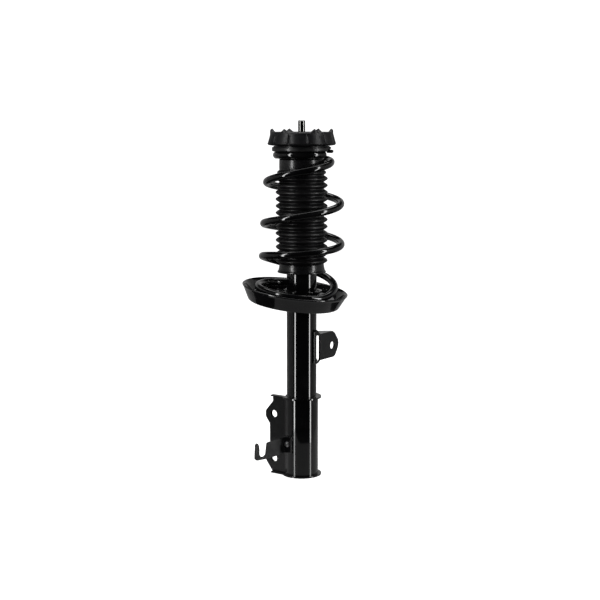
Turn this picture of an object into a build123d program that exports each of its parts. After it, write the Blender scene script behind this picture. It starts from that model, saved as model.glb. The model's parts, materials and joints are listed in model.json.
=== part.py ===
from build123d import *
from math import cos, pi, radians, sin, tan
import os

# Front suspension strut assembly, in millimetres.
# Origin: centre of the strut's flat base. +Z runs up the strut axis, the knuckle ears
# point to -X and the knuckle bolts run along Y.

# ---- damper tubes --------------------------------------------------------------------
TUBE_R = 25.4            # reserve tube, outside
TUBE_BORE_R = 22.8
TUBE_TOP = 362.0
CRIMP_R = 15.0           # rolled-in mouth of the reserve tube
CYLINDER_R = 18.0        # pressure tube, outside
CYLINDER_BORE_R = 16.0
CYLINDER_TOP = 343.0
BASE_THICK = 3.0
BASE_RIM = 12.0
VALVE_FLANGE_TOP = 9.0

# ---- rod and piston ------------------------------------------------------------------
ROD_R = 11.0
RUNNING_GAP = 0.05       # radial clearance of sliding and turning fits
SHOULDER_Z = 549.0       # where the rod steps down to its threaded end
NECK_R, NECK_TOP = 7.0, 579.0     # M14, held by the mount nut
ROD_END_R = 6.0          # M12
ROD_TOP = 604.5
PISTON_BOTTOM, PISTON_TOP = 300.0, 320.0
BAND_INNER_R = 15.2

# ---- knuckle bracket -----------------------------------------------------------------
SHEET = 3.0
KNUCKLE_TOP = 137.6
EAR_Y = 19.0             # middle of each ear's thickness
EAR_REACH = 62.5
WRAP_END_DEG = 125.0     # where the wrap leaves the tube for the ear
LINER = 1.8              # stiffening plate inside each ear
LIP = 5.5                # flared edge at the top and bottom
BOLT_X = -44.0
BOLT_Z = (25.3, 103.5)
BOLT_R = 6.5             # clearance for M12

# ---- directions round the axis -------------------------------------------------------
SEAT_TURN = 35.0         # heading of the seat's low side and of the spring's station 0
RIVET_DEG = 253.0        # where the hose bracket is riveted to the knuckle bracket
HOOK_DEG = 253.0         # heading of the hose bracket's arm

# ---- lower spring seat ---------------------------------------------------------------
SEAT_CENTRE = (-11.0, 0.0, 323.0)   # rim centre, before the turn about the axis
SEAT_TILT_Y, SEAT_TILT_X = 6.8, 3.5
SEAT_RIM_R = 88.5
TRACK_END_R, GUTTER_END_R = 67.0, 74.0
SEAT_FLOOR = -10.0       # top of the spring's track below the rim plane
SEAT_SHEET = 2.6

# ---- spring --------------------------------------------------------------------------
WIRE_R = 6.25
RING_R, RING_X = 64.5, -9.2   # end coil on the seat: radius, centre along SEAT_TURN
COIL_END = 548.4         # wire centre under the upper isolator
TRACK_GAP = 0.8

# ---- boot ----------------------------------------------------------------------------
BOOT_TOP = 538.0
SLEEVE_R = 37.6
FOLDS = 14
FOLD_PITCH = 11.45
TOP_FOLD = 8.9           # pitch of the first, smaller fold
FOLD_BOTTOM = 365.1
CREST_R, ROOT_R = 43.8, 37.1
CUFF_BOTTOM = 350.7
BOOT_WALL = 1.5

# ---- upper seat, bearing and top mount -----------------------------------------------
RIM_R = 49.7
BALL_R = 3.0
BALL_COUNT = 24
BALL_PITCH_R = 34.0
BALL_Z = 565.4
MOUNT_BOTTOM = 562.9
MOUNT_TOP = 585.5
MOUNT_LOW_R, MOUNT_HIGH_R = 57.4, 52.5
NUB_COUNT, NUB_START_DEG, NUB_R = 6, 30.0, 48.6
NUB_HEIGHT = 5.0


# ---- helpers -------------------------------------------------------------------------
def turned(*outline):
    """Solid of revolution about +Z from (radius, height) corners."""
    return revolve(make_face(Polyline(*[(r, 0, z) for r, z in outline], close=True)), Axis.Z)


def tube(outer, inner, low, high):
    """Plain ring between two heights."""
    return turned((inner, low), (outer, low), (outer, high), (inner, high))


def upright(deg, radius, low, high, r):
    """Vertical cylinder standing away from the axis."""
    spot = Pos(radius * cos(radians(deg)), radius * sin(radians(deg)), (low + high) / 2)
    return spot * Cylinder(r, high - low)


def strip(path, width):
    """Flat face of constant width along a path in the XY plane."""
    return trace(path, line_width=width)


def hexagon_nut(flats, bore_r, low, high):
    blank = extrude(RegularPolygon(flats / 2, 6, major_radius=False), high - low)
    chamfered = blank & turned((0, 0), (flats / 2 + 0.3, 0), (flats * 0.58, 0.9),
                               (flats * 0.58, high - low - 0.9),
                               (flats / 2 + 0.3, high - low), (0, high - low))
    return Pos(0, 0, low) * (chamfered - Cylinder(bore_r, 4 * (high - low)))


# ---- damper --------------------------------------------------------------------------
def reserve_tube():
    return turned((TUBE_BORE_R, 0), (TUBE_R, 0), (TUBE_R, TUBE_TOP - 2.5),
                  (TUBE_R - 2.5, TUBE_TOP), (CRIMP_R, TUBE_TOP), (CRIMP_R, TUBE_TOP - 2.4),
                  (TUBE_BORE_R, TUBE_TOP - 2.4))


def base_cup():
    return turned((0, 0), (TUBE_BORE_R, 0), (TUBE_BORE_R, BASE_RIM),
                  (TUBE_BORE_R - 2.4, BASE_RIM), (TUBE_BORE_R - 2.4, BASE_THICK),
                  (0, BASE_THICK))


def base_valve():
    body = turned((4, BASE_THICK), (CYLINDER_R, BASE_THICK), (CYLINDER_R, VALVE_FLANGE_TOP),
                  (CYLINDER_BORE_R, VALVE_FLANGE_TOP), (CYLINDER_BORE_R, 20), (4, 20))
    for k in range(6):
        body -= upright(60 * k, 10.5, 0, 30, 1.6)
    for k in range(4):
        body -= Rot(Z=90 * k) * Pos(CYLINDER_R, 0, BASE_THICK) * Box(12, 5, 4)
    return body


def base_valve_pin():
    return turned((0, 7), (4, 7), (4, 20), (7.5, 20), (7.5, 22.5), (0, 22.5))


def pressure_tube():
    return tube(CYLINDER_R, CYLINDER_BORE_R, VALVE_FLANGE_TOP, CYLINDER_TOP)


def rod_guide():
    return turned((12.5, 333), (CYLINDER_BORE_R, 333), (CYLINDER_BORE_R, CYLINDER_TOP),
                  (TUBE_BORE_R, CYLINDER_TOP), (TUBE_BORE_R, 352.5), (12.5, 352.5))


def guide_bush():
    return tube(12.5, ROD_R + RUNNING_GAP, 334, 352.5)


def rod_seal():
    return turned((ROD_R + RUNNING_GAP, 352.5), (TUBE_BORE_R, 352.5), (TUBE_BORE_R, 356.5),
                  (14.8, 359.4), (13.5, 361.2), (ROD_R + RUNNING_GAP, 361.2),
                  (ROD_R + RUNNING_GAP, 359.6), (12.2, 358), (12.2, 356),
                  (ROD_R + RUNNING_GAP, 354.5))


def piston_rod():
    rod = turned((0, 286), (4.6, 286), (5.5, 287), (5.5, PISTON_TOP), (ROD_R, PISTON_TOP),
                 (ROD_R, SHOULDER_Z), (NECK_R, SHOULDER_Z), (NECK_R, NECK_TOP),
                 (ROD_END_R, NECK_TOP + 1), (ROD_END_R, ROD_TOP - 1.2),
                 (ROD_END_R - 1.2, ROD_TOP), (0, ROD_TOP))
    hex_socket = extrude(RegularPolygon(2.5, 6, major_radius=False), 8)
    return rod - Pos(0, 0, ROD_TOP - 6) * hex_socket


def piston():
    body = tube(BAND_INNER_R, 5.5, PISTON_BOTTOM, PISTON_TOP)
    for k in range(8):
        body -= upright(45 * k, 10.6, PISTON_BOTTOM - 1, PISTON_TOP + 1, 1.4)
    return body


def piston_band():
    return tube(CYLINDER_BORE_R - RUNNING_GAP, BAND_INNER_R, PISTON_BOTTOM + 3, PISTON_TOP - 3)


def valve_discs():
    return turned((5.5, 298.2), (9, 298.2), (9, 298.8), (11, 298.8), (11, 299.4),
                  (13, 299.4), (13, PISTON_BOTTOM), (5.5, PISTON_BOTTOM))


def rebound_stop():
    return turned((ROD_R, 325), (14, 325), (15, 326), (15, 331.5), (14, 332.5), (ROD_R, 332.5))


# ---- knuckle bracket -----------------------------------------------------------------
def knuckle_path(shift, reach):
    """Plan of the bracket's middle line, moved outwards by shift."""
    r = TUBE_R + SHEET / 2 + shift
    ear_y = EAR_Y + shift
    a = radians(WRAP_END_DEG)
    leave = (r * cos(a), r * sin(a))
    corner_x = leave[0] + (leave[1] - ear_y) * tan(a)
    upper = FilletPolyline((-reach, ear_y), (corner_x, ear_y), leave, radius=5)
    wrap = ThreePointArc(leave, (r, 0), (leave[0], -leave[1]))
    lower = FilletPolyline((leave[0], -leave[1]), (corner_x, -ear_y), (-reach, -ear_y), radius=5)
    return Wire(upper.edges() + wrap.edges() + lower.edges())


def ear_outline():
    """Side view of the bracket, open towards the tube."""
    return Polyline((40, 0), (40, KNUCKLE_TOP), (-46, KNUCKLE_TOP), (-46, 126), (-59.5, 110),
                    (-61.5, 107), (-61.5, 98.5), (-60, 95), (-53.2, 86), (-52.7, 83),
                    (-52.7, 46), (-60.5, 33.5), (-61.5, 30), (-61.5, 21.5), (-60, 18),
                    (-47.5, 2), (-47.5, 0), close=True)


def knuckle_bracket():
    side = Rot(X=90) * make_face(ear_outline())
    side_block = extrude(side, amount=60, both=True)
    sheet = extrude(strip(knuckle_path(0, EAR_REACH), SHEET), KNUCKLE_TOP) & side_block
    lip_shift = LIP / 2
    lip_face = strip(knuckle_path(lip_shift, 47), SHEET + LIP)
    lips = [Pos(0, 0, low) * extrude(lip_face, SHEET * 0.8) for low in (0, KNUCKLE_TOP - SHEET * 0.8)]
    liners = [extrude(side & Pos(-47.5, 0, KNUCKLE_TOP / 2) * Box(28, 1, 124), amount=amount)
              for amount in (EAR_Y - SHEET / 2, -(EAR_Y - SHEET / 2))]
    liners = liners[0] + liners[1] - Pos(-47.5, 0, 60) * Box(60, 2 * (EAR_Y - SHEET / 2 - LINER), 400)
    corner = make_face(Polyline((-37.5, KNUCKLE_TOP + 1), (-70, KNUCKLE_TOP + 1), (-70, 127),
                                (-46.8, 127), close=True))
    clipped = Pos(0, 10, 0) * extrude(Rot(X=90) * corner, amount=-40)
    bracket = sheet + lips + liners - clipped
    for z in BOLT_Z:
        bracket -= Pos(BOLT_X, 0, z) * Rot(X=90) * Cylinder(BOLT_R, 80)
    return bracket - Pos(0, 0, KNUCKLE_TOP / 2) * Cylinder(TUBE_R, 2 * KNUCKLE_TOP)


# ---- hose bracket --------------------------------------------------------------------
HOOK_LOW, HOOK_HIGH = 35.5, 65.5
HOOK_LENGTH = 64.5
HOOK_SLOT_T, HOOK_SLOT_R, HOOK_SLOT_Z = 48.4, 6.9, 47.1
TAB_LOW, TAB_HIGH = 41.0, 70.0
TAB_HALF = 9.5
RIVET_Z = 56.8


def hose_tab_foot():
    a = radians(RIVET_DEG)
    r = TUBE_R + SHEET
    return r * cos(a), r * sin(a)


def hose_bend_point():
    x, y = hose_tab_foot()
    a = radians(RIVET_DEG - 90)
    return x + TAB_HALF * cos(a), y + TAB_HALF * sin(a)


def hook_side_view():
    """Arm of the hose bracket in its own plane: distance from the bend, height."""
    left, right = HOOK_SLOT_T + HOOK_SLOT_R, HOOK_SLOT_T - HOOK_SLOT_R
    arm = make_face(Polyline((0, TAB_LOW), (22, HOOK_LOW + 1.5), (40, HOOK_LOW), (59, HOOK_LOW),
                             (62, HOOK_LOW + 0.7), (HOOK_LENGTH, HOOK_LOW + 4),
                             (HOOK_LENGTH, HOOK_LOW + 9), (HOOK_LENGTH - 1.2, HOOK_HIGH - 3),
                             (61.8, HOOK_HIGH - 0.6), (60, HOOK_HIGH), (58.2, HOOK_HIGH - 0.8),
                             (left + 0.8, HOOK_HIGH - 5), (left, HOOK_SLOT_Z + 7),
                             (left, HOOK_SLOT_Z), (right, HOOK_SLOT_Z),
                             (right - 0.8, HOOK_SLOT_Z + 7), (right - 2, HOOK_HIGH - 3.5),
                             (right - 5, HOOK_HIGH - 1.7), (0, TAB_HIGH - 2.5), close=True))
    return arm - Pos(HOOK_SLOT_T, HOOK_SLOT_Z) * Circle(HOOK_SLOT_R)


def hose_bracket():
    bend_x, bend_y = hose_bend_point()
    tab_turn = Pos(*hose_tab_foot(), 0) * Rot(Z=RIVET_DEG)
    tab = tab_turn * Pos(SHEET / 2, 0, (TAB_LOW + TAB_HIGH) / 2) * Box(
        SHEET, 2 * TAB_HALF, TAB_HIGH - TAB_LOW)
    stand = Pos(bend_x, bend_y, 0) * Rot(Z=HOOK_DEG)
    arm = stand * extrude(Rot(X=90) * hook_side_view(), amount=SHEET / 2, both=True)
    rib = stand * Pos(16, -SHEET / 2, 50) * Box(18, 2.4, 6)
    hole = tab_turn * Pos(SHEET / 2, 0, RIVET_Z) * Rot(Y=90) * Cylinder(3, 12)
    return tab + arm + rib - hole


def hose_rivet():
    stand = Pos(*hose_tab_foot(), RIVET_Z) * Rot(Z=RIVET_DEG) * Rot(Y=90)
    shank = Pos(0, 0, SHEET / 2) * Cylinder(3, SHEET)
    head = Pos(0, 0, SHEET) * turned((0, 0), (5, 0), (5, 1), (3.6, 2.8), (0, 3.4))
    return stand * (shank + head)


# ---- stabiliser link bracket ---------------------------------------------------------
LINK_X = 29.5            # outer face of the plate
LINK_SHEET = 3.0
LINK_LOW, LINK_HIGH = 200.0, 245.5
LINK_END = 69.8
LINK_WINDOW = (6.5, 6.0, 199.0, 245.0)    # middle, half width, bottom, top
LINK_HOLE = (50.6, 220.6)
LINK_HOLE_R = 6.75


def link_plate_view():
    """Outline in (Y, Z): two feet beside the tube, then the plate with its nose."""
    low, high = LINK_LOW, LINK_HIGH
    plate = make_face(Polyline(
        (-3, low + 4), (-1, low - 3.0), (2.5, low - 4.5), (7, low - 4.0), (13, low),
        (54.6, low), (59.9, low + 2.4), (68.2, low + 15.5), (LINK_END, low + 22.5),
        (68.2, low + 28.6), (58.6, high - 4.2), (51.8, high), (14, high),
        (9, high + 3.2), (4, high + 8.2), (1.5, high + 8.4), (-1, high + 6),
        (-3, high - 3), close=True))
    middle, half, bottom, top = LINK_WINDOW
    window = Pos(middle, (bottom + top) / 2) * RectangleRounded(2 * half, top - bottom, half - 0.3)
    return plate - window - Pos(*LINK_HOLE) * Circle(LINK_HOLE_R)


def link_bracket():
    plate = extrude(Plane.YZ * link_plate_view(), LINK_SHEET)
    plate = Pos(LINK_X - LINK_SHEET, 0, 0) * plate
    thick = LINK_SHEET * 0.8
    arm_view = make_face(Polyline((LINK_X, 12), (LINK_X, 52), (24, 52), (8, 38),
                                  (-5, 30), (-5, 20), (20, 6), (25.5, 6), close=True))
    upper = Pos(0, 0, LINK_HIGH - thick) * extrude(arm_view, thick)
    rim_view = make_face(Polyline((LINK_X, 13), (LINK_X, 52), (24, 52), (12, 42),
                                  (21.5, 20.5), (26.5, 14.5), close=True))
    lower = Pos(0, 0, LINK_LOW) * extrude(rim_view, thick)
    feet = [Pos(LINK_X - 3.5, -1.2, z) * Box(7, 3.6, 5) for z in (LINK_LOW - 0.5, LINK_HIGH + 3)]
    return plate + lower + upper + feet - Pos(0, 0, LINK_LOW) * Cylinder(TUBE_R, 200)


# ---- lower spring seat ---------------------------------------------------------------
def seat_place():
    return Rot(Z=SEAT_TURN) * Pos(*SEAT_CENTRE) * Rot(Y=SEAT_TILT_Y) * Rot(X=SEAT_TILT_X)


def seat_sleeve():
    """Collar and cone under the pan, welded round the tube."""
    collar = turned((TUBE_R, 297), (TUBE_R + 3, 297), (TUBE_R + 3, 319), (TUBE_R, 319))
    cone = turned((TUBE_R, 308), (TUBE_R + 12, 311), (TUBE_R + 3, 325), (TUBE_R, 325))
    return collar + cone


def pressed_pan():
    """Spring track, gutter and flared wall, standing on the sleeve."""
    half = SEAT_SHEET / 2
    section = FilletPolyline((8, SEAT_FLOOR - half), (69.5, SEAT_FLOOR - half), (69.8, -24.8),
                             (76, -24.8), (86.5, -4), (SEAT_RIM_R, -half),
                             radius=[2.5, 2.5, 2.5, 2])
    pan = revolve(Rot(X=90) * strip(section, SEAT_SHEET), Axis.Z)
    return seat_place() * pan


def seat_core(radius):
    return seat_place() * Pos(0, 0, SEAT_FLOOR) * Cylinder(radius, 120)


def lower_spring_seat():
    """The pan's floor, on which the end coil lies."""
    floor = pressed_pan() & seat_core(TRACK_END_R)
    return floor - seat_sleeve() - Pos(0, 0, 300) * Cylinder(TUBE_R, 200)


def seat_gutter():
    return (pressed_pan() & seat_core(GUTTER_END_R)) - seat_core(TRACK_END_R)


def seat_wall():
    return pressed_pan() - seat_core(GUTTER_END_R)


# ---- spring --------------------------------------------------------------------------
# Stations: degrees round the axis from SEAT_TURN, wire centre height, wire centre radius.
COIL_STATIONS = (
    (0, 325.0, RING_R + RING_X), (90, 351.0, 62.5), (180, 377.8, 66.0), (270, 388.0, 66.5),
    (360, 398.5, 66.2), (540, 433.0, 63.7), (720, 466.7, 65.4), (900, 502.3, 58.6),
    (990, 521.5, 55.0), (1080, 536.3, 48.6), (1170, 543.5, 43.8), (1260, 547.2, 41.8),
    (1350, COIL_END, 41.8), (1410, COIL_END, 41.8))
SEATED_FROM, SEATED_TO = -300, -60
COIL_STEP = 22.5


def seated_station(deg):
    """The end coil lies on the seat's floor, round the seat's own centre."""
    a = radians(deg)
    r = RING_X * cos(a) + (RING_R**2 - (RING_X * sin(a))**2) ** 0.5
    x, y = r * cos(a), r * sin(a)
    plane = (SEAT_CENTRE[2] + tan(radians(SEAT_TILT_X)) * y
             - tan(radians(SEAT_TILT_Y)) * (x - SEAT_CENTRE[0]))
    return deg, plane + SEAT_FLOOR + WIRE_R + TRACK_GAP, r


def coil_stations():
    seated = [seated_station(d) for d in range(SEATED_FROM, SEATED_TO + 1, 30)]
    return seated + list(COIL_STATIONS)


def eased(stations, deg, column):
    """Cubic through the stations, with no overshoot at the ends."""
    k = max(i for i in range(len(stations) - 1) if stations[i][0] <= deg)
    before, a, b = stations[max(k - 1, 0)], stations[k], stations[k + 1]
    after = stations[min(k + 2, len(stations) - 1)]
    span = b[0] - a[0]
    t = (deg - a[0]) / span
    slope_a = (b[column] - before[column]) / (b[0] - before[0]) * span
    slope_b = (after[column] - a[column]) / (after[0] - a[0]) * span
    return ((2 * t**3 - 3 * t**2 + 1) * a[column] + (t**3 - 2 * t**2 + t) * slope_a
            + (3 * t**2 - 2 * t**3) * b[column] + (t**3 - t**2) * slope_b)


def coil_points():
    stations = coil_stations()
    first, last = stations[0][0], stations[-1][0]
    count = round((last - first) / COIL_STEP)
    points = []
    for k in range(count + 1):
        deg = first + (last - first) * k / count
        z, r = eased(stations, deg, 1), eased(stations, deg, 2)
        turn = radians(deg + SEAT_TURN)
        points.append((r * cos(turn), r * sin(turn), z))
    return points


def coil_spring():
    path = Spline(*coil_points())
    end = Plane(origin=path @ 0, z_dir=path % 0)
    return sweep(end * Circle(WIRE_R), path=path)


# ---- boot and bump stop --------------------------------------------------------------
def dust_boot():
    """Sleeve, folds and flared cuff as one thin wall."""
    z = FOLD_BOTTOM + (FOLDS - 1) * FOLD_PITCH + TOP_FOLD
    outer = [(SLEEVE_R, BOOT_TOP), (SLEEVE_R, z + 1), (ROOT_R, z)]
    for k in range(FOLDS):
        crest, pitch = (41.0, TOP_FOLD) if k == 0 else (CREST_R, FOLD_PITCH)
        outer += [(crest, z - pitch * 0.4), (crest, z - pitch * 0.6), (ROOT_R, z - pitch)]
        z -= pitch
    outer += [(SLEEVE_R, CUFF_BOTTOM + 4), (40.7, CUFF_BOTTOM + 1.5), (40.7, CUFF_BOTTOM)]
    inner = [(r - BOOT_WALL, z) for r, z in reversed(outer[:-1])]
    inner[0] = (40.7 - BOOT_WALL, CUFF_BOTTOM)
    inner[-1] = (SLEEVE_R - BOOT_WALL, BOOT_TOP - 4)
    hem = [(34.9, BOOT_TOP - 4), (34.9, BOOT_TOP)]
    return turned(*outer, *inner, *hem)


def bump_stop():
    outer = [(27.5, 548.5), (27.5, 532), (23.5, 528), (27, 524), (27, 514), (22.5, 510),
             (26, 506), (26, 498), (21, 494), (23, 490), (20, 481), (14, 478)]
    return turned((ROD_R + 0.5, 478), *reversed(outer), (ROD_R + 0.5, 548.5))


def bump_stop_cup():
    return turned((NECK_R + 0.1, SHOULDER_Z), (28, SHOULDER_Z), (28, 540), (30, 540),
                  (30, SHOULDER_Z + 2.5), (NECK_R + 0.1, SHOULDER_Z + 2.5))


# ---- upper seat and bearing ----------------------------------------------------------
def upper_spring_seat():
    dish = turned((17, 556.6), (47.4, 556.6), (47.4, 553.8), (48.4, 553), (RIM_R, 554.4),
                  (RIM_R, 559), (48.7, 560.6), (47.7, 560.2), (47.7, 559.4), (17, 559.4))
    notch = Rot(Z=SEAT_TURN) * Pos(49.8, 0, 554.8) * Box(6.4, 15, 4)
    return dish + tube(34.8, 32.4, 530, 556.6) - notch


def upper_isolator():
    ring = tube(47.2, 35.0, COIL_END + WIRE_R + 0.3, 556.6)
    root = Pos(48.5, 0, 555.75) * Box(7, 14, 1.5)
    tip = Pos(51.1, 0, 553.3) * Box(6.0, 14, 5.4)
    return ring + Rot(Z=SEAT_TURN) * (root + tip)


def bearing_lower_race():
    ring = turned((28, 559.4), (47, 559.4), (47, 562.0), (41, 562.0), (40, 563.2), (28, 563.2))
    return ring - Pos(0, 0, BALL_Z) * Torus(BALL_PITCH_R, BALL_R + RUNNING_GAP)


def bearing_upper_race():
    ring = tube(40.5, 27.5, 567.6, 571.4)
    return ring - Pos(0, 0, BALL_Z) * Torus(BALL_PITCH_R, BALL_R + RUNNING_GAP)


def bearing_balls():
    return [Pos(BALL_PITCH_R * cos(2 * pi * k / BALL_COUNT),
                BALL_PITCH_R * sin(2 * pi * k / BALL_COUNT), BALL_Z) * Sphere(BALL_R)
            for k in range(BALL_COUNT)]


def bearing_cage():
    ring = tube(37.6, 30.4, BALL_Z - 0.9, BALL_Z + 0.9)
    for k in range(BALL_COUNT):
        ring -= upright(360 * k / BALL_COUNT, BALL_PITCH_R, BALL_Z - 5, BALL_Z + 5, BALL_R + 0.1)
    return ring


# ---- top mount -----------------------------------------------------------------------
def mount_insert():
    return tube(49.5, 27.0, 574.5, 577.0)


def mount_rubber():
    body = turned((20, MOUNT_BOTTOM), (26.5, MOUNT_BOTTOM), (26.5, 571.4), (41.2, 571.4),
                  (41.2, MOUNT_BOTTOM), (50, MOUNT_BOTTOM), (55.5, MOUNT_BOTTOM + 0.8),
                  (MOUNT_LOW_R, MOUNT_BOTTOM + 3.2), (MOUNT_HIGH_R, MOUNT_TOP - 2.5),
                  (MOUNT_HIGH_R - 2.5, MOUNT_TOP), (25, MOUNT_TOP), (20, MOUNT_TOP - 4))
    nub_view = Rot(X=90) * make_face(Polyline((-4.8, -1), (4.8, -1), (0, NUB_HEIGHT), close=True))
    for k in range(NUB_COUNT):
        place = Rot(Z=NUB_START_DEG + 360 * k / NUB_COUNT) * Pos(NUB_R, 0, MOUNT_TOP) * Rot(Z=90)
        body += place * extrude(nub_view, amount=3.0, both=True)
    return body - mount_insert()


def mount_core():
    return turned((NECK_R + 0.1, SHOULDER_Z + 2.5), (13, SHOULDER_Z + 2.5), (13, 564.5),
                  (20, 564.5), (20, 568), (NECK_R + 0.1, 568))


def rod_nut():
    return hexagon_nut(21, NECK_R + 0.1, 568, 578)


def piston_nut():
    return hexagon_nut(17, 5.5, 290.5, 298.2)


PIECES = (
    reserve_tube, base_cup, base_valve, base_valve_pin, pressure_tube, rod_guide, guide_bush,
    rod_seal, knuckle_bracket, hose_bracket, hose_rivet, link_bracket, lower_spring_seat,
    seat_gutter, seat_wall, seat_sleeve,
    coil_spring, dust_boot, upper_spring_seat, upper_isolator, bearing_lower_race,
    bearing_balls, bearing_cage, bearing_upper_race, mount_rubber, mount_insert, mount_core,
    rod_nut, bump_stop, bump_stop_cup, piston_rod, piston, piston_band, valve_discs,
    piston_nut, rebound_stop)


def main():
    os.makedirs("parts", exist_ok=True)
    for piece in PIECES:
        shape = piece()
        if isinstance(shape, list):
            shape = Compound(children=shape)
        export_step(shape, f"parts/{piece.__name__}.step")


main()
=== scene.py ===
import bpy
import json
import math
import numpy as np
from mathutils import Matrix, Vector


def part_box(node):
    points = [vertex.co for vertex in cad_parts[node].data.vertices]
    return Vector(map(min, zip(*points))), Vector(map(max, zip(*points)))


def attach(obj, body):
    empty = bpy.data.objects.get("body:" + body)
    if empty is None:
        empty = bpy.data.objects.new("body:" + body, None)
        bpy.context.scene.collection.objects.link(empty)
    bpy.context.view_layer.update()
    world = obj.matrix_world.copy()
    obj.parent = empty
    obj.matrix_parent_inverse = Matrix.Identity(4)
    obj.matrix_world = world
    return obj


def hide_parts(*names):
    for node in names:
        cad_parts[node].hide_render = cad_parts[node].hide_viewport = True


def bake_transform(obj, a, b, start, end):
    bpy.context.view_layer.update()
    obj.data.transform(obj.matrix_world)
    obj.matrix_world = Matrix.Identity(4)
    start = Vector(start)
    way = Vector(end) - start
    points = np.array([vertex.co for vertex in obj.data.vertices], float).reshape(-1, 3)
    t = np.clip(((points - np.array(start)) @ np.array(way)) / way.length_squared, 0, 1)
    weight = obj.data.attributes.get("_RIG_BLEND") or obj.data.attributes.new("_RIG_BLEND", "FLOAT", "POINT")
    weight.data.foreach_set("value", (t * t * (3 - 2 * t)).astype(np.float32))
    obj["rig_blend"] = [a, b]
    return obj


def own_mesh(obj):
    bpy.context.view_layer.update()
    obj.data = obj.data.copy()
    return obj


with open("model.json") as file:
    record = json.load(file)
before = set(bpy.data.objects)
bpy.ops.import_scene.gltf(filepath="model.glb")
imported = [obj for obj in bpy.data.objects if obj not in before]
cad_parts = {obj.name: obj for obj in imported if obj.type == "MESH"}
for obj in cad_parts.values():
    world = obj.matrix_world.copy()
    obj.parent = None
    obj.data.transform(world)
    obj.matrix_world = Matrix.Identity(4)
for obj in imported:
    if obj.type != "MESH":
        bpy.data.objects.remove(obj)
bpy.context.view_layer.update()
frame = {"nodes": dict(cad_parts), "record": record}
MM = 0.001

# ---- dimensions shared with the CAD model, in millimetres ------------------------------
TUBE_R = 25.4
SEAT_TURN = 35.0
TAB_TURN, NOTCH_TURN, NOTCH_HALF = 22.0, 27.5, 22.5      # degrees
NOTCH_R, NOTCH_TOP = 46.4, 557.0
TAB_R, TAB_Z = 48.3, 553.4                                # centre of the isolator's tab
TAB_HALF_X, TAB_HALF_Y, TAB_HALF_Z = 5.3, 6.6, 2.8
TAB_ROUNDNESS = 0.5                                       # 1 is an ellipsoid, 0 a box
ISOLATOR_BORE, ISOLATOR_R, ISOLATOR_LOW, ISOLATOR_HIGH = 35.0, 46.2, 555.0, 556.5
SEAT_CENTRE = (-11.0, 0.0, 323.0)
SEAT_TILT_Y, SEAT_TILT_X = 6.8, 3.5
SEAT_RIM_R = 88.5
SEAT_FLOOR = -10.0
SEAT_SHEET = 2.6
SEAT_GUTTER = -24.8
SEAT_EYE = 60.0            # inside this radius the pan follows the tube, which is off centre
COLLAR_LOW, COLLAR_HIGH = 297.0, 318.0
WIRE_R = 6.25
RING_R, RING_X = 64.5, -9.2
COIL_END = 548.4
TRACK_GAP = 0.8
COIL_STATIONS = (
    (0, 325.0, RING_R + RING_X), (90, 351.0, 62.5), (180, 377.8, 66.0), (270, 388.0, 66.5),
    (360, 398.5, 66.2), (540, 433.0, 63.7), (720, 466.7, 65.4), (900, 502.3, 58.6),
    (990, 521.5, 55.0), (1080, 536.3, 48.6), (1170, 543.5, 43.8), (1260, 547.2, 41.8),
    (1350, COIL_END, 41.8), (1410, COIL_END, 41.8))
SEATED_FROM, SEATED_TO = -300, -60
BOOT_TOP, CUFF_BOTTOM = 541.5, 350.7
SLEEVE_R, CREST_R, ROOT_R, CUFF_LIP_R = 37.6, 43.8, 37.1, 40.7
FOLDS, FOLD_PITCH, TOP_FOLD, FOLD_BOTTOM, BOOT_WALL = 14, 11.45, 8.9, 365.1, 1.5
SLEEVE_BOTTOM = FOLD_BOTTOM + (FOLDS - 1) * FOLD_PITCH + TOP_FOLD
BOOT_FOLLOW = 0.2          # share of the stroke that the boot's loose cuff takes
MOUNT_BOTTOM, MOUNT_TOP = 562.9, 585.5
MOUNT_LOW_R, MOUNT_HIGH_R = 57.4, 52.5
NUB_COUNT, NUB_START_DEG, NUB_HEIGHT = 6, 30.0, 5.0
GROOVES, GROOVE_START_DEG = 11, -78.0
RIM_R = 49.7
LINK_LOW, LINK_HIGH = 200.0, 245.5
HOSE_DEG, HOSE_FOOT_R = 253.0, 33.0

# ---- camera ----------------------------------------------------------------------------
CAM_AZIMUTH, CAM_ELEVATION = 35.0, 8.2
CAM_DISTANCE = 2.15
CAM_LENS = 76.1
CAM_AIM_Z, CAM_AIM_SIDE = 0.3028, -0.00275


# ======================= node helpers ====================================================
def new_material(name):
    mat = bpy.data.materials.new(name)
    mat.use_nodes = True
    tree = mat.node_tree
    tree.nodes.clear()
    out = tree.nodes.new("ShaderNodeOutputMaterial")
    shader = tree.nodes.new("ShaderNodeBsdfPrincipled")
    tree.links.new(shader.outputs["BSDF"], out.inputs["Surface"])
    place = tree.nodes.new("ShaderNodeTexCoord").outputs["Object"]
    return mat, tree, shader, place


def noise(tree, place, scale, detail=3.0, stretch=None):
    """Noise output in 0..1; scale is in features per metre, stretch scales the axes."""
    if stretch is not None:
        mapping = tree.nodes.new("ShaderNodeMapping")
        mapping.inputs["Scale"].default_value = stretch
        tree.links.new(place, mapping.inputs["Vector"])
        place = mapping.outputs["Vector"]
    node = tree.nodes.new("ShaderNodeTexNoise")
    node.inputs["Scale"].default_value = scale
    node.inputs["Detail"].default_value = detail
    tree.links.new(place, node.inputs["Vector"])
    return node.outputs["Fac"]


def ranged(tree, value, low, high, from_low=0.3, from_high=0.7):
    node = tree.nodes.new("ShaderNodeMapRange")
    for socket, number in (("From Min", from_low), ("From Max", from_high),
                           ("To Min", low), ("To Max", high)):
        node.inputs[socket].default_value = number
    tree.links.new(value, node.inputs["Value"])
    return node.outputs["Result"]


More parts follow.
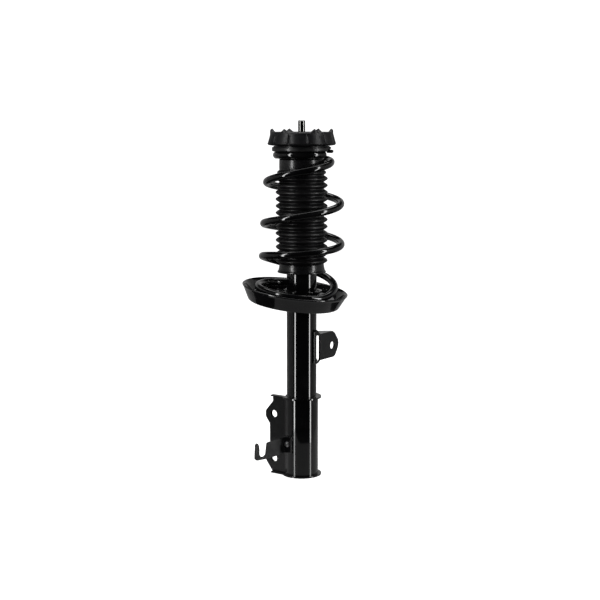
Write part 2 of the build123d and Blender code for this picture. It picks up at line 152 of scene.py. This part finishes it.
def mixed(tree, factor, colour_a, colour_b):
    node = tree.nodes.new("ShaderNodeMix")
    node.data_type = "RGBA"
    node.inputs["A"].default_value = (*colour_a, 1)
    node.inputs["B"].default_value = (*colour_b, 1)
    tree.links.new(factor, node.inputs["Factor"])
    return node.outputs["Result"]


def bumped(tree, shader, height, distance, strength=1.0, under=None):
    node = tree.nodes.new("ShaderNodeBump")
    node.inputs["Distance"].default_value = distance
    node.inputs["Strength"].default_value = strength
    tree.links.new(height, node.inputs["Height"])
    if under is not None:
        tree.links.new(under, node.inputs["Normal"])
    tree.links.new(node.outputs["Normal"], shader.inputs["Normal"])
    return node.outputs["Normal"]


# ======================= materials =======================================================
def paint(name, colour, rough, coat, peel, shine=0.12):
    """Black coating with orange peel, patchy dust from a noise pattern and small changes of gloss."""
    mat, tree, shader, place = new_material(name)
    dust = noise(tree, place, 35, 5)
    shade = tuple(c * 1.6 + 0.002 for c in colour)
    tree.links.new(mixed(tree, ranged(tree, dust, 0, 1, 0.45, 0.75), colour, shade),
                   shader.inputs["Base Color"])
    tree.links.new(ranged(tree, noise(tree, place, 90, 4), rough * 0.8, rough * 1.35),
                   shader.inputs["Roughness"])
    shader.inputs["Coat Weight"].default_value = coat
    shader.inputs["Coat Roughness"].default_value = 0.04
    shader.inputs["Specular IOR Level"].default_value = shine
    bumped(tree, shader, noise(tree, place, 130, 2), 0.00002 * peel)
    return mat


def rubber(name, colour, rough, grain, bloom=0.35, shine=0.5):
    """Moulded rubber: fine grain, faint grey bloom, uneven gloss."""
    mat, tree, shader, place = new_material(name)
    cloud = noise(tree, place, 60, 6)
    bloomed = tuple(c + bloom * 0.03 for c in colour)
    tree.links.new(mixed(tree, ranged(tree, cloud, 0, 1, 0.42, 0.72), colour, bloomed),
                   shader.inputs["Base Color"])
    tree.links.new(ranged(tree, noise(tree, place, 240, 4), rough * 0.85, rough * 1.2),
                   shader.inputs["Roughness"])
    shader.inputs["Specular IOR Level"].default_value = shine
    bumped(tree, shader, noise(tree, place, 160, 3), 0.00004 * grain)
    return mat


def metal(name, colour, rough, stretch=(1, 1, 1), scratch=1.0, stain=0.12):
    """Bare or plated metal with machining marks along the stretched axis."""
    mat, tree, shader, place = new_material(name)
    marks = noise(tree, place, 900, 3, stretch)
    darker = tuple(c * (1 - stain * 2.5) for c in colour)
    tree.links.new(mixed(tree, ranged(tree, noise(tree, place, 70, 5), 0, 1, 0.4, 0.75),
                         colour, darker), shader.inputs["Base Color"])
    tree.links.new(ranged(tree, marks, rough * 0.7, rough * 1.4), shader.inputs["Roughness"])
    shader.inputs["Metallic"].default_value = 1.0
    bumped(tree, shader, marks, 0.00002 * scratch)
    return mat


def plastic(name, colour, rough):
    mat, tree, shader, place = new_material(name)
    shade = tuple(c * 0.8 for c in colour)
    tree.links.new(mixed(tree, ranged(tree, noise(tree, place, 120, 4), 0, 1), colour, shade),
                   shader.inputs["Base Color"])
    tree.links.new(ranged(tree, noise(tree, place, 500, 3), rough * 0.9, rough * 1.15),
                   shader.inputs["Roughness"])
    bumped(tree, shader, noise(tree, place, 1500, 2), 0.00003)
    return mat


MATERIALS = {
    "black_paint": paint("black_paint", (0.0022, 0.0022, 0.0026), 0.16, 1.0, 1.0),
    "spring_coat": paint("spring_coat", (0.0022, 0.0022, 0.0025), 0.20, 0.9, 1.0),
    "pan_paint": paint("pan_paint", (0.0055, 0.0055, 0.0060), 0.16, 1.0, 1.0),
    "bracket_paint": paint("bracket_paint", (0.0120, 0.0120, 0.0125), 0.45, 0.35, 1.0, 0.35),
    "weld_paint": paint("weld_paint", (0.0030, 0.0030, 0.0034), 0.30, 0.7, 3.0),
    "seat_coat": paint("seat_coat", (0.0070, 0.0070, 0.0075), 0.34, 0.15, 1.5, 0.4),
    "rivet_steel": metal("rivet_steel", (0.75, 0.75, 0.76), 0.28),
    "boot_rubber": rubber("boot_rubber", (0.0050, 0.0050, 0.0055), 0.24, 0.06, 0.03),
    "boot_folds": rubber("boot_folds", (0.0030, 0.0030, 0.0034), 0.40, 0.2, 0.01),
    "mount_rubber": rubber("mount_rubber", (0.0050, 0.0050, 0.0060), 0.40, 1.0, 0.06, 0.3),
    "seal_rubber": rubber("seal_rubber", (0.020, 0.015, 0.012), 0.5, 0.8),
    "rod_chrome": metal("rod_chrome", (0.15, 0.15, 0.145), 0.12, (1, 1, 14), 0.002),
    "zinc_steel": metal("zinc_steel", (0.55, 0.56, 0.58), 0.28),
    "bright_steel": metal("bright_steel", (0.48, 0.48, 0.50), 0.25, (1, 1, 12)),
    "ball_steel": metal("ball_steel", (0.72, 0.72, 0.74), 0.06, scratch=0.2, stain=0.02),
    "sintered": metal("sintered", (0.24, 0.23, 0.22), 0.55, scratch=3.0),
    "bush_bronze": metal("bush_bronze", (0.40, 0.28, 0.14), 0.35),
    "cage_plastic": plastic("cage_plastic", (0.55, 0.52, 0.42), 0.45),
    "band_plastic": plastic("band_plastic", (0.03, 0.03, 0.03), 0.4),
    "bump_foam": rubber("bump_foam", (0.36, 0.30, 0.16), 0.85, 3.0, 0.6),
}


def dress(obj, slot):
    obj.data.materials.clear()
    obj.data.materials.append(MATERIALS[slot])


# ======================= mesh helpers ====================================================
def new_piece(name, verts, faces, slot, body=None, smooth=True):
    """Mesh piece from points in millimetres."""
    mesh = bpy.data.meshes.new(name)
    mesh.from_pydata([tuple(c * MM for c in v) for v in verts], [], faces)
    mesh.validate()
    mesh.update()
    obj = bpy.data.objects.new(name, mesh)
    bpy.context.scene.collection.objects.link(obj)
    if smooth:
        mesh.polygons.foreach_set("use_smooth", [True] * len(mesh.polygons))
    dress(obj, slot)
    if body:
        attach(obj, body)
    return obj


def ring_faces(rings, sides, closed_rings):
    """Quads of a grid of rings; closed_rings joins the last ring to the first."""
    faces = []
    last = rings if closed_rings else rings - 1
    for i in range(last):
        j = (i + 1) % rings
        for k in range(sides):
            n = (k + 1) % sides
            faces.append((i * sides + k, i * sides + n, j * sides + n, j * sides + k))
    return faces


def rounded(corners, closed=True, steps=5):
    """Outline with its corners rounded: each corner is (a, b, radius)."""
    count, points = len(corners), []
    for i, (x, y, r) in enumerate(corners):
        if r <= 0 or (not closed and i in (0, count - 1)):
            points.append((x, y))
            continue
        here = Vector((x, y))
        back = Vector(corners[i - 1][:2]) - here
        ahead = Vector(corners[(i + 1) % count][:2]) - here
        angle = back.angle(ahead)
        reach = min(r / math.tan(angle / 2), back.length * 0.49, ahead.length * 0.49)
        start, end = here + back.normalized() * reach, here + ahead.normalized() * reach
        for s in range(steps + 1):
            t = s / steps
            points.append(tuple(start * (1 - t) ** 2 + here * 2 * t * (1 - t) + end * t**2))
    return points


def densified(points, step, closed=True):
    """Outline with no run longer than step."""
    made = []
    count = len(points)
    for i in range(count if closed else count - 1):
        a, b = Vector(points[i]), Vector(points[(i + 1) % count])
        runs = max(1, math.ceil((b - a).length / step))
        made += [tuple(a.lerp(b, s / runs)) for s in range(runs)]
    return made if closed else made + [tuple(points[-1])]


def turned(name, outline, slot, body, sides=160, shape=None, place=None):
    """Closed outline of (radius, height) turned about Z; shape(r, z, angle) may move a point."""
    verts = []
    for r, z in outline:
        for k in range(sides):
            a = 2 * math.pi * k / sides
            pr, pz = shape(r, z, a) if shape else (r, z)
            point = Vector((pr * math.cos(a), pr * math.sin(a), pz))
            verts.append(place @ point if place else point)
    faces = ring_faces(len(outline), sides, True)
    return new_piece(name, verts, faces, slot, body)


def tube_along(name, points, radius, slot, body=None, sides=24, ripple=None):
    """Round tube with capped ends along points, in millimetres."""
    points = [Vector(p) for p in points]
    verts, side_axis = [], None
    for i, p in enumerate(points):
        ahead = (points[min(i + 1, len(points) - 1)] - points[max(i - 1, 0)]).normalized()
        first = Vector((0, 0, 1)) if abs(ahead.z) < 0.9 else Vector((1, 0, 0))
        seed = side_axis if side_axis else first
        side_axis = (seed - ahead * seed.dot(ahead)).normalized()
        other = ahead.cross(side_axis)
        r = radius * (ripple(i, len(points)) if ripple else 1)
        for k in range(sides):
            a = 2 * math.pi * k / sides
            verts.append(p + (side_axis * math.cos(a) + other * math.sin(a)) * r)
    faces = ring_faces(len(points), sides, False)
    faces = [tuple(reversed(f)) for f in faces]
    count = len(points)
    faces.append(tuple(range(sides)))
    faces.append(tuple(reversed(range((count - 1) * sides, count * sides))))
    return new_piece(name, verts, faces, slot, body)


def softened(obj, width, angle=35):
    """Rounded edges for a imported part: joins its split edges, then bevels them."""
    weld = obj.modifiers.new("weld", "WELD")
    weld.merge_threshold = 0.00001
    flat = obj.modifiers.new("flat", "DECIMATE")
    flat.decimate_type = "DISSOLVE"
    flat.angle_limit = math.radians(0.8)
    bevel = obj.modifiers.new("bevel", "BEVEL")
    bevel.width = width * MM
    bevel.segments = 3
    bevel.limit_method = "ANGLE"
    bevel.angle_limit = math.radians(angle)
    normals = obj.modifiers.new("normals", "WEIGHTED_NORMAL")
    normals.mode = "FACE_AREA"
    normals.weight = 50
    smooth(obj)


def heading(deg):
    """Unit vector in the ground plane, counted from +X."""
    return Vector((math.cos(math.radians(deg)), math.sin(math.radians(deg)), 0))


def smooth(obj):
    obj.data.polygons.foreach_set("use_smooth", [True] * len(obj.data.polygons))


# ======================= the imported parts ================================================
NODE_SLOT = {s["node"]: s["material_slot"] for s in frame["record"]["subparts"]}
for node, obj in frame["nodes"].items():
    dress(obj, NODE_SLOT[node])


def two_tone_bracket():
    """Satin hook plate; the foot under the rivet keeps the tube's gloss."""
    bracket = frame["nodes"]["hose_bracket"]
    dress(bracket, "bracket_paint")
    bracket.data.materials.append(MATERIALS["black_paint"])
    outward = heading(HOSE_DEG)
    for face in bracket.data.polygons:
        if (bracket.matrix_world @ face.center).dot(outward) < HOSE_FOOT_R * MM:
            face.material_index = 1


two_tone_bracket()
for node, width in (("knuckle_bracket", 0.7), ("hose_bracket", 0.8), ("link_bracket", 0.8),
                    ("hose_rivet", 0.3), ("bearing_lower_race", 0.5)):
    softened(frame["nodes"][node], width)


# ======================= coil spring =====================================================
def seated_station(deg):
    """The end coil lies on the seat's floor, round the seat's own centre."""
    a = math.radians(deg)
    r = RING_X * math.cos(a) + math.sqrt(RING_R**2 - (RING_X * math.sin(a))**2)
    x, y = r * math.cos(a), r * math.sin(a)
    plane = (SEAT_CENTRE[2] + math.tan(math.radians(SEAT_TILT_X)) * y
             - math.tan(math.radians(SEAT_TILT_Y)) * (x - SEAT_CENTRE[0]))
    return deg, plane + SEAT_FLOOR + WIRE_R + TRACK_GAP, r


def coil_stations():
    seated = [seated_station(d) for d in range(SEATED_FROM, SEATED_TO + 1, 30)]
    return seated + list(COIL_STATIONS)


def eased(stations, deg, column):
    k = max(i for i in range(len(stations) - 1) if stations[i][0] <= deg)
    before, a, b = stations[max(k - 1, 0)], stations[k], stations[k + 1]
    after = stations[min(k + 2, len(stations) - 1)]
    span = b[0] - a[0]
    t = (deg - a[0]) / span
    slope_a = (b[column] - before[column]) / (b[0] - before[0]) * span
    slope_b = (after[column] - a[column]) / (after[0] - a[0]) * span
    return ((2 * t**3 - 3 * t**2 + 1) * a[column] + (t**3 - 2 * t**2 + t) * slope_a
            + (3 * t**2 - 2 * t**3) * b[column] + (t**3 - t**2) * slope_b)


def follow_stroke(obj, weights):
    """The piece stretches between the tube and the upper seat, point by point."""
    low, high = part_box("seat_wall")[0].z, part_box("upper_spring_seat")[1].z
    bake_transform(obj, "strut_tube", "upper_seat", start=(0, 0, low), end=(0, 0, high))
    values = obj.data.attributes["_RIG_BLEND"].data
    values.foreach_set("value", np.array(weights, np.float32))


def make_spring():
    stations = coil_stations()
    first, last = stations[0][0], stations[-1][0]
    sides, steps = 28, 5.0
    count = round((last - first) / steps)
    centre = []
    for k in range(count + 1):
        deg = first + (last - first) * k / count
        z, r = eased(stations, deg, 1), eased(stations, deg, 2)
        turn = math.radians(deg + SEAT_TURN)
        centre.append(Vector((r * math.cos(turn), r * math.sin(turn), z)))
    # short rings at both ends round the cut wire's edge
    def end_rings(tip, inward):
        return [tip + inward * d for d in (0.0, 0.25, 0.8)]
    head = end_rings(centre[0], (centre[1] - centre[0]).normalized())
    tail = end_rings(centre[-1], (centre[-2] - centre[-1]).normalized())
    points = head + centre[1:-1] + tail[::-1]
    edge = (0.88, 0.97, 1.0)
    def ripple(i, n):
        return edge[i] if i < 3 else edge[n - 1 - i] if i >= n - 3 else 1.0
    spring = tube_along("spring", points, WIRE_R, "spring_coat", sides=sides, ripple=ripple)
    low, high = centre[0].z, centre[-1].z
    bottom = min(p.z for p in centre)
    weights = []
    for i, p in enumerate(points):
        share = min(1.0, max(0.0, (p.z - bottom - 8) / (high - bottom - 8)))
        weights += [share] * sides
    follow_stroke(spring, weights)
    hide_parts("coil_spring")


# ======================= boot ============================================================
def boot_outline():
    """Outer line of the boot from the cuff's lip up to the sleeve's top."""
    line = [(CUFF_LIP_R, CUFF_BOTTOM), (CUFF_LIP_R + 0.5, CUFF_BOTTOM + 1.2),
            (CUFF_LIP_R - 0.6, CUFF_BOTTOM + 2.6), (39.2, CUFF_BOTTOM + 4.0),
            (38.3, CUFF_BOTTOM + 8), (SLEEVE_R, CUFF_BOTTOM + 13)]
    z, steps = FOLD_BOTTOM, 14
    for k in range(FOLDS):
        top = k == FOLDS - 1
        crest, pitch = (41.2, TOP_FOLD) if top else (CREST_R, FOLD_PITCH)
        for step in range(steps):
            wave = 0.5 - 0.5 * math.cos(2 * math.pi * step / steps)
            line.append((ROOT_R + (crest - ROOT_R) * wave ** 0.62, z + pitch * step / steps))
        z += pitch
    line += [(ROOT_R, z), (SLEEVE_R, z + 1.5),
             (SLEEVE_R, z + 7), (SLEEVE_R - 0.1, BOOT_TOP - 3),
             (SLEEVE_R - 0.5, BOOT_TOP - 0.8), (SLEEVE_R - 1.4, BOOT_TOP)]
    return line


def make_boot():
    outer = boot_outline()
    inner = []
    for i, (r, z) in enumerate(outer):
        before, after = outer[max(i - 1, 0)], outer[min(i + 1, len(outer) - 1)]
        along = Vector((after[0] - before[0], after[1] - before[1])).normalized()
        inner.append((r - BOOT_WALL * along.y, z + BOOT_WALL * 0.35 * along.x))
    outline = outer + inner[::-1]
    boot = turned("boot", outline, "boot_rubber", None, sides=160)
    boot.data.materials.append(MATERIALS["boot_folds"])
    for face in boot.data.polygons:
        if (FOLD_BOTTOM + 1) * MM < face.center.z < SLEEVE_BOTTOM * MM:
            face.material_index = 1
    low, high = CUFF_BOTTOM + 12, SLEEVE_BOTTOM
    weights = []
    for r, z in outline:
        share = min(1.0, max(0.0, (z - low) / (high - low)))
        weights += [BOOT_FOLLOW + (1 - BOOT_FOLLOW) * share] * 160
    follow_stroke(boot, weights)
    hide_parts("dust_boot")


def make_bump_stop():
    corners = [(27.5, 548.5, 1), (27.5, 532, 2), (23.5, 528, 2), (27, 524, 3), (27, 514, 3),
               (22.5, 510, 2), (26, 506, 3), (26, 498, 3), (21, 494, 2), (23, 490, 3), (20, 481, 3),
               (14, 478, 2), (11.5, 478, 0.5), (11.5, 548.5, 0)]
    stop = turned("bump_stop_foam", rounded(corners), "bump_foam", "top_mount", sides=96)
    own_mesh(stop)
    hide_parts("bump_stop")


# ======================= lower spring seat ===============================================
def seat_matrix():
    return (Matrix.Rotation(math.radians(SEAT_TURN), 4, "Z") @ Matrix.Translation(SEAT_CENTRE)
            @ Matrix.Rotation(math.radians(SEAT_TILT_Y), 4, "Y")
            @ Matrix.Rotation(math.radians(SEAT_TILT_X), 4, "X"))


def tube_reach(a):
    """Distance from the pan's centre to the tube's surface at that angle."""
    off = -SEAT_CENTRE[0]
    return off * math.cos(a) + math.sqrt(TUBE_R**2 - (off * math.sin(a))**2)


def make_pan():
    """Pressed pan: neck round the tube, floor, deep gutter, flared wall with a rolled lip."""
    half, floor, deep = SEAT_SHEET / 2, SEAT_FLOOR - SEAT_SHEET / 2, SEAT_GUTTER
    middle = [(0, floor + 7.5, 0), (2.5, floor + 7, 2), (6, floor, 4), (69.5, floor, 2.6),
              (69.8, deep, 2.6), (76, deep, 3.2), (86.3, -4.2, 2.2),
              (SEAT_RIM_R, -half, 0)]
    line = densified(rounded(middle, closed=False, steps=6), 3.0, closed=False)
    upper, lower = [], []
    for i, (x, z) in enumerate(line):
        before, after = line[max(i - 1, 0)], line[min(i + 1, len(line) - 1)]
        along = Vector((after[0] - before[0], after[1] - before[1])).normalized()
        upper.append((x - along.y * half, z + along.x * half))
        lower.append((x + along.y * half, z - along.x * half))
    tip = Vector(line[-1])
    along = (tip - Vector(line[-2])).normalized()
    lip = [tuple(tip + along * half * 0.85 + Vector((-along.y, along.x)) * half * f)
           for f in (0.6, 0.0, -0.6)]
    outline = upper + lip + lower[::-1]

    def from_tube(x, z, a):
        """Near the middle, x is counted from the tube instead of the pan's centre."""
        near = tube_reach(a) - 0.2
        if x >= SEAT_EYE:
            return x, z
        return near + (SEAT_EYE - near) * x / SEAT_EYE, z

    pan = turned("seat_pan", outline, "pan_paint", "strut_tube", sides=256, shape=from_tube,
                 place=seat_matrix())
    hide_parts("lower_spring_seat", "seat_gutter", "seat_wall")
    # collar under the pan, welded to the tube
    low, high = COLLAR_LOW, COLLAR_HIGH
    collar = [(TUBE_R - 0.2, low, 0), (TUBE_R + 3, low, 1), (TUBE_R + 3, high - 5, 6),
              (TUBE_R + 9, high - 1, 2), (TUBE_R + 9, high + 1.6, 0.5),
              (TUBE_R - 0.2, high + 1.6, 0)]
    collar = turned("seat_collar", rounded(collar), "black_paint", "strut_tube", sides=128)
    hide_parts("seat_sleeve")


def make_weld(name, points, radius, body="strut_tube"):
    """Weld bead: a low tube with stacked ripples."""
    def ripple(i, n):
        ends = min(1.0, (i + 1) / 4, (n - i) / 4)
        return (0.86 + 0.14 * abs(math.sin(i * 0.9))) * ends
    bead = tube_along(name, points, radius, "weld_paint", body, sides=14, ripple=ripple)


def arc_points(radius, start, end, z, step=4):
    count = max(2, round(abs(end - start) / step))
    turns = [math.radians(start + (end - start) * k / count) for k in range(count + 1)]
    return [(radius * math.cos(t), radius * math.sin(t), z) for t in turns]


def make_welds():
    make_weld("collar_weld", arc_points(TUBE_R + 0.6, 0, 356, 296.6), 1.7)
    make_weld("link_weld_low", arc_points(TUBE_R + 0.4, 12, 104, LINK_LOW - 0.6), 1.5)
    make_weld("link_weld_high", arc_points(TUBE_R + 0.4, 12, 104, LINK_HIGH + 0.6), 1.5)


# ======================= upper spring seat ===============================================
def make_upper_seat():
    """Disc with a rolled rim, notched for the isolator's tab, and a centring sleeve."""
    corners = [(17, 556.6, 0.5), (32.4, 556.6, 1.2), (32.4, 530, 0.6), (34.8, 530, 0.6),
               (34.8, 556.6, 1.2), (47.4, 556.6, 0.6), (47.4, 553.8, 0.6), (48.4, 553.1, 0.6),
               (RIM_R, 554.6, 1.6), (RIM_R, 559, 1.8), (48.7, 560.6, 0.8), (47.7, 560.2, 0.5),
               (47.7, 559.4, 0.4), (17, 559.4, 0.5)]

    def notched(r, z, a):
        off = abs((math.degrees(a) - NOTCH_TURN + 180) % 360 - 180)
        if off < NOTCH_HALF and z < NOTCH_TOP:
            r = min(r, NOTCH_R)
        return r, z

    dish = turned("upper_seat_dish", rounded(corners), "seat_coat", "upper_seat", sides=360,
                  shape=notched)
    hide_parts("upper_spring_seat")


def make_isolator():
    """Rubber ring under the dish, with one rounded tab standing out through its notch."""
    corners = [(ISOLATOR_BORE, ISOLATOR_LOW, 0.4), (ISOLATOR_R, ISOLATOR_LOW, 0.5),
               (ISOLATOR_R, ISOLATOR_HIGH, 0.5), (ISOLATOR_BORE, ISOLATOR_HIGH, 0.4)]
    ring = turned("isolator_ring", rounded(corners), "mount_rubber", "upper_seat")
    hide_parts("upper_isolator")

    def bulge(value):
        return math.copysign(abs(value) ** TAB_ROUNDNESS, value)

    turn = Matrix.Rotation(math.radians(TAB_TURN), 3, "Z")
    rings, sides, verts = 18, 32, []
    for i in range(rings):
        lift = math.pi * ((i + 0.5) / rings - 0.5)
        for k in range(sides):
            a = 2 * math.pi * k / sides
            reach = bulge(math.cos(lift))
            verts.append(turn @ Vector((TAB_R + TAB_HALF_X * reach * bulge(math.cos(a)),
                                        TAB_HALF_Y * reach * bulge(math.sin(a)),
                                        TAB_Z + TAB_HALF_Z * bulge(math.sin(lift)))))
    faces = ring_faces(rings, sides, False)
    faces.append(tuple(reversed(range(sides))))
    faces.append(tuple(range((rings - 1) * sides, rings * sides)))
    new_piece("isolator_tab", verts, faces, "mount_rubber", "upper_seat")


# ======================= top mount =======================================================
def make_mount():
    corners = [(20, MOUNT_BOTTOM, 0.6), (26.5, MOUNT_BOTTOM, 0.6), (26.5, 571.4, 0.5),
               (41.2, 571.4, 0.5), (41.2, MOUNT_BOTTOM, 0.8), (50, MOUNT_BOTTOM, 2),
               (55.5, MOUNT_BOTTOM + 0.8, 2), (MOUNT_LOW_R, MOUNT_BOTTOM + 3.2, 1.4),
               (MOUNT_HIGH_R, MOUNT_TOP - 2.0, 2.2), (MOUNT_HIGH_R - 2.5, MOUNT_TOP, 2.2),
               (43.5, MOUNT_TOP, 1), (42.0, MOUNT_TOP - 2.2, 1), (31.5, MOUNT_TOP - 2.2, 1),
               (30.0, MOUNT_TOP, 1), (25, MOUNT_TOP, 2), (20, MOUNT_TOP - 4, 1)]
    outline = densified(rounded(corners, steps=6), 1.2)

    def shape(r, z, a):
        deg = math.degrees(a)
        side = (z - (MOUNT_BOTTOM + 3)) / (MOUNT_TOP - 4 - MOUNT_BOTTOM - 3)
        if r > 50 and 0 < side:
            turn = (deg - GROOVE_START_DEG) * GROOVES / 360
            off = abs(turn - round(turn)) * 360 / GROOVES
            depth = 1.1 * math.exp(-(off / 1.1) ** 2) + 0.9 * math.exp(-(off / 7.0) ** 2)
            r -= depth * min(1, side * 6) * min(1, max(0, (1.06 - side)) * 5)
        turn = (deg - NUB_START_DEG) * NUB_COUNT / 360
        off = abs(turn - round(turn)) * 2 * math.pi * 48.6 / NUB_COUNT
        rise = max(0.0, 1 - off / 7.4)
        rise = rise * rise * (3 - 2 * rise) * 0.35 + rise * 0.65
        if z > MOUNT_TOP - 2.6 and 44.5 < r:
            window = min(1.0, (r - 44.5) / 4.0)
            z += (NUB_HEIGHT + 0.3) * rise * window
        return r, z

    mount = turned("mount_crown", outline, "mount_rubber", "top_mount", sides=720, shape=shape)
    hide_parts("mount_rubber")


make_spring()
make_pan()
make_welds()
make_upper_seat()
make_isolator()
make_boot()
make_bump_stop()
make_mount()


# ======================= stage, light and camera =========================================
def make_floor():
    size = 6.0
    mesh = bpy.data.meshes.new("floor")
    mesh.from_pydata([(-size, -size, 0), (size, -size, 0), (size, size, 0), (-size, size, 0)],
                     [], [(0, 1, 2, 3)])
    floor = bpy.data.objects.new("floor", mesh)
    bpy.context.scene.collection.objects.link(floor)
    floor.location.z = -0.0006
    mat, tree, shader, place = new_material("floor_pale")
    tree.links.new(mixed(tree, noise(tree, place, 3, 4), (0.90, 0.90, 0.90), (0.93, 0.93, 0.93)),
                   shader.inputs["Base Color"])
    tree.links.new(ranged(tree, noise(tree, place, 40, 3), 0.75, 0.9), shader.inputs["Roughness"])
    shader.inputs["Emission Color"].default_value = (1, 1, 1, 1)
    shader.inputs["Emission Strength"].default_value = 1.0
    floor.data.materials.append(mat)
    floor.visible_glossy = False
    floor.visible_diffuse = False


def direction(azimuth, elevation):
    """Unit vector from the object towards a viewer at that azimuth and elevation."""
    a, e = math.radians(azimuth), math.radians(elevation)
    return Vector((math.sin(a) * math.cos(e), -math.cos(a) * math.cos(e), math.sin(e)))


def area_light(name, azimuth, elevation, distance, width, height, power, aim_z=0.3):
    light = bpy.data.lights.new(name, "AREA")
    light.shape = "RECTANGLE"
    light.size, light.size_y = width, height
    light.energy = power
    obj = bpy.data.objects.new(name, light)
    bpy.context.scene.collection.objects.link(obj)
    aim = Vector((0, 0, aim_z))
    obj.location = aim + direction(azimuth, elevation) * distance
    obj.rotation_mode = "QUATERNION"
    obj.rotation_quaternion = direction(azimuth, elevation).to_track_quat("Z", "Y")
    return obj


def make_lights():
    strip = {"elevation": 4, "distance": 2.2, "width": 0.30, "height": 3.2, "aim_z": 0.45}
    area_light("strip_left", CAM_AZIMUTH - 51, power=42, **strip)
    area_light("strip_right", CAM_AZIMUTH + 64, power=38, **strip)
    area_light("overhead", CAM_AZIMUTH, 106, distance=2.4, width=2.4, height=2.0, power=32)
    world = bpy.data.worlds.new("studio")
    bpy.context.scene.world = world
    world.use_nodes = True
    background = world.node_tree.nodes["Background"]
    background.inputs["Color"].default_value = (1, 1, 1, 1)
    background.inputs["Strength"].default_value = 0.003


def curved_wall(name, radius, low, high, start, end, glow):
    """Glowing wall round the object, between two azimuths from the camera's."""
    steps = 48
    verts = []
    for z in (low, high):
        for k in range(steps + 1):
            spot = direction(CAM_AZIMUTH + start + (end - start) * k / steps, 0) * radius
            verts.append((spot.x, spot.y, z))
    faces = [(k, k + 1, steps + 2 + k, steps + 1 + k) for k in range(steps)]
    mesh = bpy.data.meshes.new(name)
    mesh.from_pydata(verts, [], faces)
    wall = bpy.data.objects.new(name, mesh)
    bpy.context.scene.collection.objects.link(wall)
    mat, tree, shader, place = new_material(name)
    tree.links.new(mixed(tree, noise(tree, place, 2, 3), (0.92, 0.92, 0.92), (0.94, 0.94, 0.94)),
                   shader.inputs["Base Color"])
    shader.inputs["Emission Color"].default_value = (1, 1, 1, 1)
    shader.inputs["Emission Strength"].default_value = glow
    wall.data.materials.append(mat)
    wall.visible_shadow = False
    return wall


def make_walls():
    # pale wall behind the object, for the camera only
    backdrop = curved_wall("backdrop", 5.0, -0.5, 5.0, 0, 360, 1.05)
    backdrop.visible_glossy = False
    backdrop.visible_diffuse = False
    # dim wall round the sides and back, seen in the black paint only
    studio = curved_wall("studio_wall", 4.5, -2.2, 2.4, 66, 294, 0.10)
    studio.visible_camera = False


def make_table_card():
    """Glowing card under the strut, seen only as the grey sheen in its lower faces."""
    ahead = direction(CAM_AZIMUTH, 0)
    right = Vector((-ahead.y, ahead.x, 0))
    outline = [(-0.27, -0.5), (0.31, -0.5), (0.31, 0.0)]
    for k in range(16):
        a = math.radians(90 - 90 * k / 15)
        outline.append((0.26 * math.sin(a), 0.26 * math.cos(a)))
    outline.append((-0.27, 0.26))
    corners = [right * x + ahead * y for x, y in outline]
    mesh = bpy.data.meshes.new("table_card")
    mesh.from_pydata([(c.x, c.y, 0.0) for c in corners], [], [range(len(corners))])
    card = bpy.data.objects.new("table_card", mesh)
    bpy.context.scene.collection.objects.link(card)
    card.location.z = -0.0003
    mat, tree, shader, place = new_material("table_card")
    tree.links.new(mixed(tree, noise(tree, place, 4, 3), (0.02, 0.02, 0.02), (0.03, 0.03, 0.03)),
                   shader.inputs["Base Color"])
    shader.inputs["Emission Color"].default_value = (1, 1, 1, 1)
    shader.inputs["Emission Strength"].default_value = 0.36
    shader.inputs["Alpha"].default_value = 0.6
    card.data.materials.append(mat)
    card.visible_camera = False
    card.visible_diffuse = False
    card.visible_shadow = False


def make_camera():
    data = bpy.data.cameras.new("camera")
    data.lens = CAM_LENS
    data.sensor_width = 36
    data.clip_end = 50
    cam = bpy.data.objects.new("camera", data)
    bpy.context.scene.collection.objects.link(cam)
    back = direction(CAM_AZIMUTH, CAM_ELEVATION)
    side = Vector((math.cos(math.radians(CAM_AZIMUTH)), math.sin(math.radians(CAM_AZIMUTH)), 0))
    cam.location = Vector((0, 0, CAM_AIM_Z)) + side * CAM_AIM_SIDE + back * CAM_DISTANCE
    cam.rotation_mode = "QUATERNION"
    cam.rotation_quaternion = back.to_track_quat("Z", "Y")
    bpy.context.scene.camera = cam


make_floor()
make_walls()
make_table_card()
make_lights()
make_camera()
bpy.context.scene.view_settings.view_transform = "Standard"
